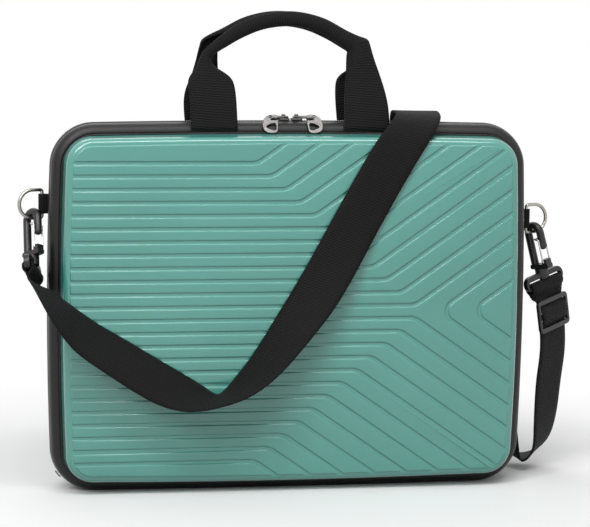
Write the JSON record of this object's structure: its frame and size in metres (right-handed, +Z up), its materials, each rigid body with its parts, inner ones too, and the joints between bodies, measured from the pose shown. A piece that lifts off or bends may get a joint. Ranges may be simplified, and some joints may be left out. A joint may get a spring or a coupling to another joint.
{
  "type": "laptop hard case",
  "caption": "Slim zipped hard case for a laptop: ribbed moulded halves on a fabric hinge, webbing carry handles, and a shoulder strap on swivel hooks and D-rings.",
  "frame": {"origin": "middle of the bottom edge the case stands on, midway between its two halves", "axes": "+X along the case's length to the right as seen from the front, +Y from the front half to the back half, +Z up towards the carry handles"},
  "size_m": [0.4731, 0.1359, 0.3941],
  "materials": {
    "shell": "satin moulded with fine grain",
    "lining": "brushed lining over foam",
    "gusset_cloth": "plain weave",
    "binding_tape": "ribbed edge tape",
    "zip_cloth": "woven tape",
    "zip_coil": "satin coil",
    "webbing": "crosswise ribbed webbing",
    "mesh": "open mesh",
    "elastic": "ribbed elastic",
    "grip_tape": "hook and loop",
    "slider_metal": "dark lacquer",
    "pull_metal": "nickel plated",
    "ring_metal": "dark nickel plated",
    "gate_wire": "bright spring wire",
    "fitting_plastic": "moulded satin black"
  },
  "bodies": {
    "back_half": {"back_shell": "shell", "back_liner": "lining", "back_gusset": "gusset_cloth", "back_binding": "binding_tape", "zip_tape_back": "zip_cloth", "zip_teeth_back": "zip_coil", "zip_stop_left": "gusset_cloth", "zip_stop_right": "gusset_cloth", "hinge_fabric": "gusset_cloth", "hold_strap_left": "elastic", "hold_strap_right": "elastic", "grip_tape": "grip_tape", "ring_tab_left": "webbing", "ring_tab_right": "webbing", "strap_loop_left": "fitting_plastic", "strap_loop_right": "fitting_plastic", "shoulder_strap": "webbing", "strap_turn_left": "webbing", "strap_turn_right": "webbing"},
    "front_half": {"front_shell": "shell", "front_liner": "lining", "front_gusset": "gusset_cloth", "front_binding": "binding_tape", "zip_tape_front": "zip_cloth", "zip_teeth_front": "zip_coil", "accessory_pocket": "mesh", "pocket_elastic": "elastic"},
    "handle_front": {"handle_front": "webbing"},
    "handle_back": {"handle_back": "webbing"},
    "strap_slider": {"strap_slider": "fitting_plastic"},
    "slider_left": {"slider_left": "slider_metal"},
    "pull_left": {"pull_bail_left": "pull_metal", "pull_tab_left": "pull_metal"},
    "d_ring_left": {"d_ring_left": "ring_metal"},
    "hook_left": {"hook_left": "fitting_plastic"},
    "gate_left": {"gate_left": "gate_wire"},
    "slider_right": {"slider_right": "slider_metal"},
    "pull_right": {"pull_bail_right": "pull_metal", "pull_tab_right": "pull_metal"},
    "d_ring_right": {"d_ring_right": "ring_metal"},
    "hook_right": {"hook_right": "fitting_plastic"},
    "gate_right": {"gate_right": "gate_wire"}
  },
  "joints": [
    {"name": "lid_hinge", "type": "hinge", "parent": "back_half", "child": "front_half", "pos_m": [0, 0, 0], "axis": [1, 0, 0], "range_deg": [0, 175], "deforming": ["hinge_fabric", "shoulder_strap"]},
    {"name": "zip_left", "type": "slide", "parent": "front_half", "child": "slider_left", "axis": [-1, 0, 0], "range_m": [0, 0.017]},
    {"name": "zip_right", "type": "slide", "parent": "front_half", "child": "slider_right", "axis": [1, 0, 0], "range_m": [0, 0.017]},
    {"name": "pull_left", "type": "hinge", "parent": "slider_left", "child": "pull_left", "pos_m": [-0.00595, 0, 0.3076], "axis": [-1, 0, 0], "range_deg": [0, 150]},
    {"name": "pull_right", "type": "hinge", "parent": "slider_right", "child": "pull_right", "pos_m": [0.00475, 0, 0.3076], "axis": [-1, 0, 0], "range_deg": [0, 150]},
    {"name": "handle_front", "type": "hinge", "parent": "front_half", "child": "handle_front", "pos_m": [-0.0018, -0.0163, 0.2974], "axis": [1, 0, 0], "range_deg": [0, 45]},
    {"name": "handle_back", "type": "hinge", "parent": "back_half", "child": "handle_back", "pos_m": [-0.0018, 0.0163, 0.2974], "axis": [-1, 0, 0], "range_deg": [0, 60]},
    {"name": "ring_left", "type": "hinge", "parent": "back_half", "child": "d_ring_left", "pos_m": [-0.20315, 0.006, 0.236], "axis": [0, 0, 1], "range_deg": [0, 5]},
    {"name": "swivel_left", "type": "hinge", "parent": "back_half", "child": "hook_left", "pos_m": [-0.21182, -0.01379, 0.18608], "axis": [0, 0.4202, 0.9074], "range_deg": [-15, 5]},
    {"name": "gate_left", "type": "hinge", "parent": "hook_left", "child": "gate_left", "pos_m": [-0.20711, -0.01294, 0.20243], "axis": [-0.7917, -0.5544, 0.2567], "range_deg": [0, 12], "stiffness_Nm_per_rad": 0.03, "springref_deg": -17.19},
    {"name": "ring_right", "type": "hinge", "parent": "back_half", "child": "d_ring_right", "pos_m": [0.20353, 0.006, 0.2218], "axis": [0, 0, 1], "range_deg": [-5, 0]},
    {"name": "swivel_right", "type": "hinge", "parent": "back_half", "child": "hook_right", "pos_m": [0.22122, 0.0099, 0.16953], "axis": [-0.247, 0, 0.969], "range_deg": [-15, 5]},
    {"name": "gate_right", "type": "hinge", "parent": "hook_right", "child": "gate_right", "pos_m": [0.22165, 0.00353, 0.18533], "axis": [-0.8019, -0.5615, -0.2044], "range_deg": [0, 12], "stiffness_Nm_per_rad": 0.03, "springref_deg": -17.19},
    {"name": "strap_length", "type": "slide", "parent": "back_half", "child": "strap_slider", "axis": [0.1497, 0.0299, -0.9883], "range_m": [0, 0.04]}
  ]
}
